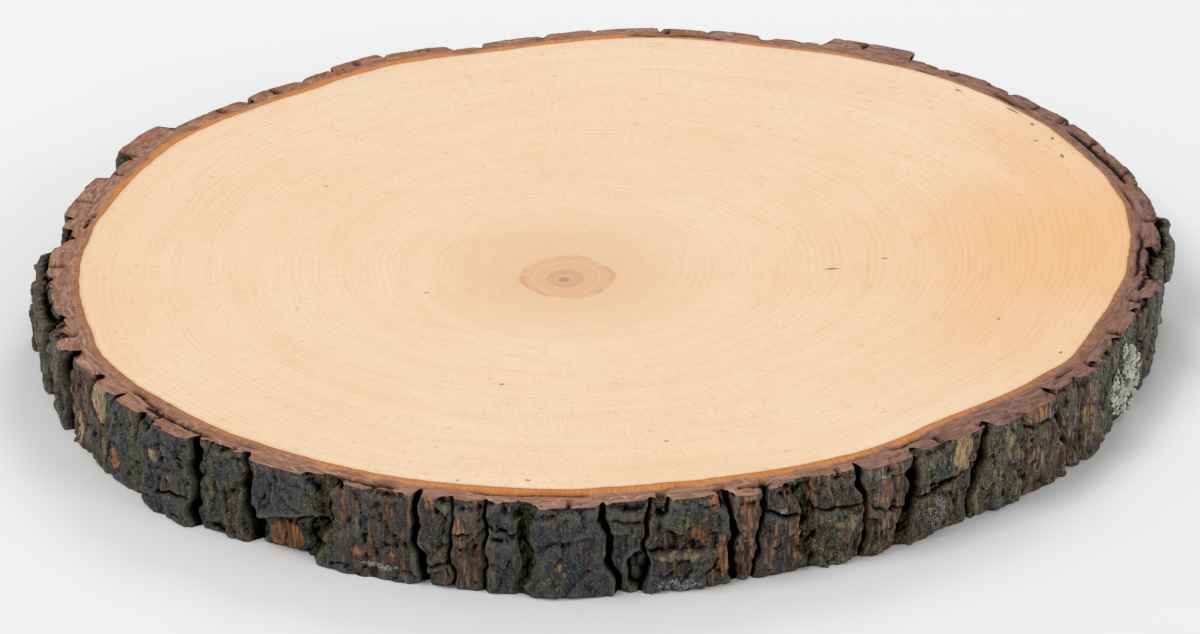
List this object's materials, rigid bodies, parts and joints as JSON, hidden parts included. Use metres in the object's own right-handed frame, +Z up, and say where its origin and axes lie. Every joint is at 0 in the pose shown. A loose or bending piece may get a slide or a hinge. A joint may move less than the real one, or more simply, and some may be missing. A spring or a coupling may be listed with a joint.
{
  "type": "tree slice",
  "caption": "Flat round slice sawn across a tree trunk, bare wood face with growth rings, thick cracked bark all round and a patch of lichen on the bark.",
  "frame": {"origin": "underside of the slice, at the middle of its bounding box", "axes": "+Z up through the thickness, out of the upper sawn face; -Y towards the front, where the lichen is to the right"},
  "size_m": [0.3806, 0.3723, 0.03],
  "materials": {
    "wood_and_bark": "sawn and dry, with rough weathered bark",
    "lichen_crust": "matt, dry and papery"
  },
  "bodies": {
    "root": {"wood_slice": "wood_and_bark", "lichen": "lichen_crust"}
  },
  "joints": []
}
